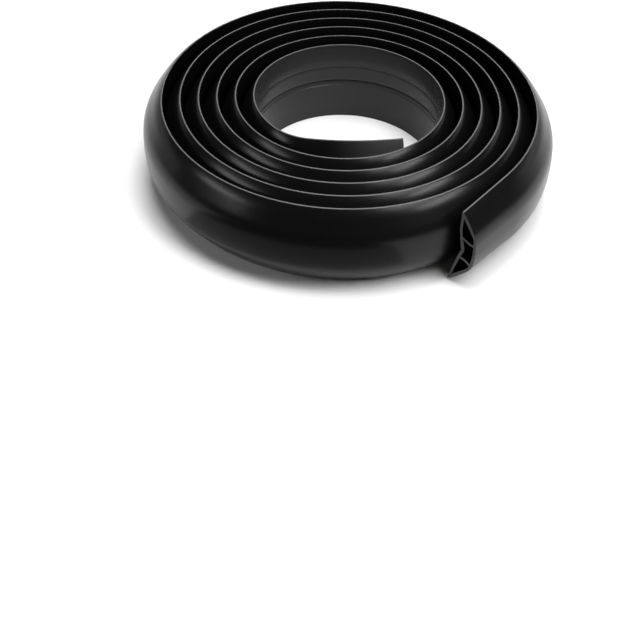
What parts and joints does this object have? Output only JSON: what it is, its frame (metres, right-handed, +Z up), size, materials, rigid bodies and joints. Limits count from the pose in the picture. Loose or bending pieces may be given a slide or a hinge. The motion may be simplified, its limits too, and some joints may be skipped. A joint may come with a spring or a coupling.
{
  "type": "coiled floor cord cover",
  "caption": "Roll of black floor cord cover with a low domed section, a slit cord channel and hollow tapered sides, lying flat as sold.",
  "frame": {"origin": "middle of the part's bounding box, on the floor under the roll", "axes": "+Z up along the roll's axis; the cut outer end faces -Y at the +X side; the roll winds inward counter-clockwise seen from above"},
  "size_m": [0.3176, 0.3106, 0.066],
  "materials": {
    "soft_pvc": "satin"
  },
  "bodies": {
    "root": {"cord_cover": "soft_pvc"}
  },
  "joints": []
}
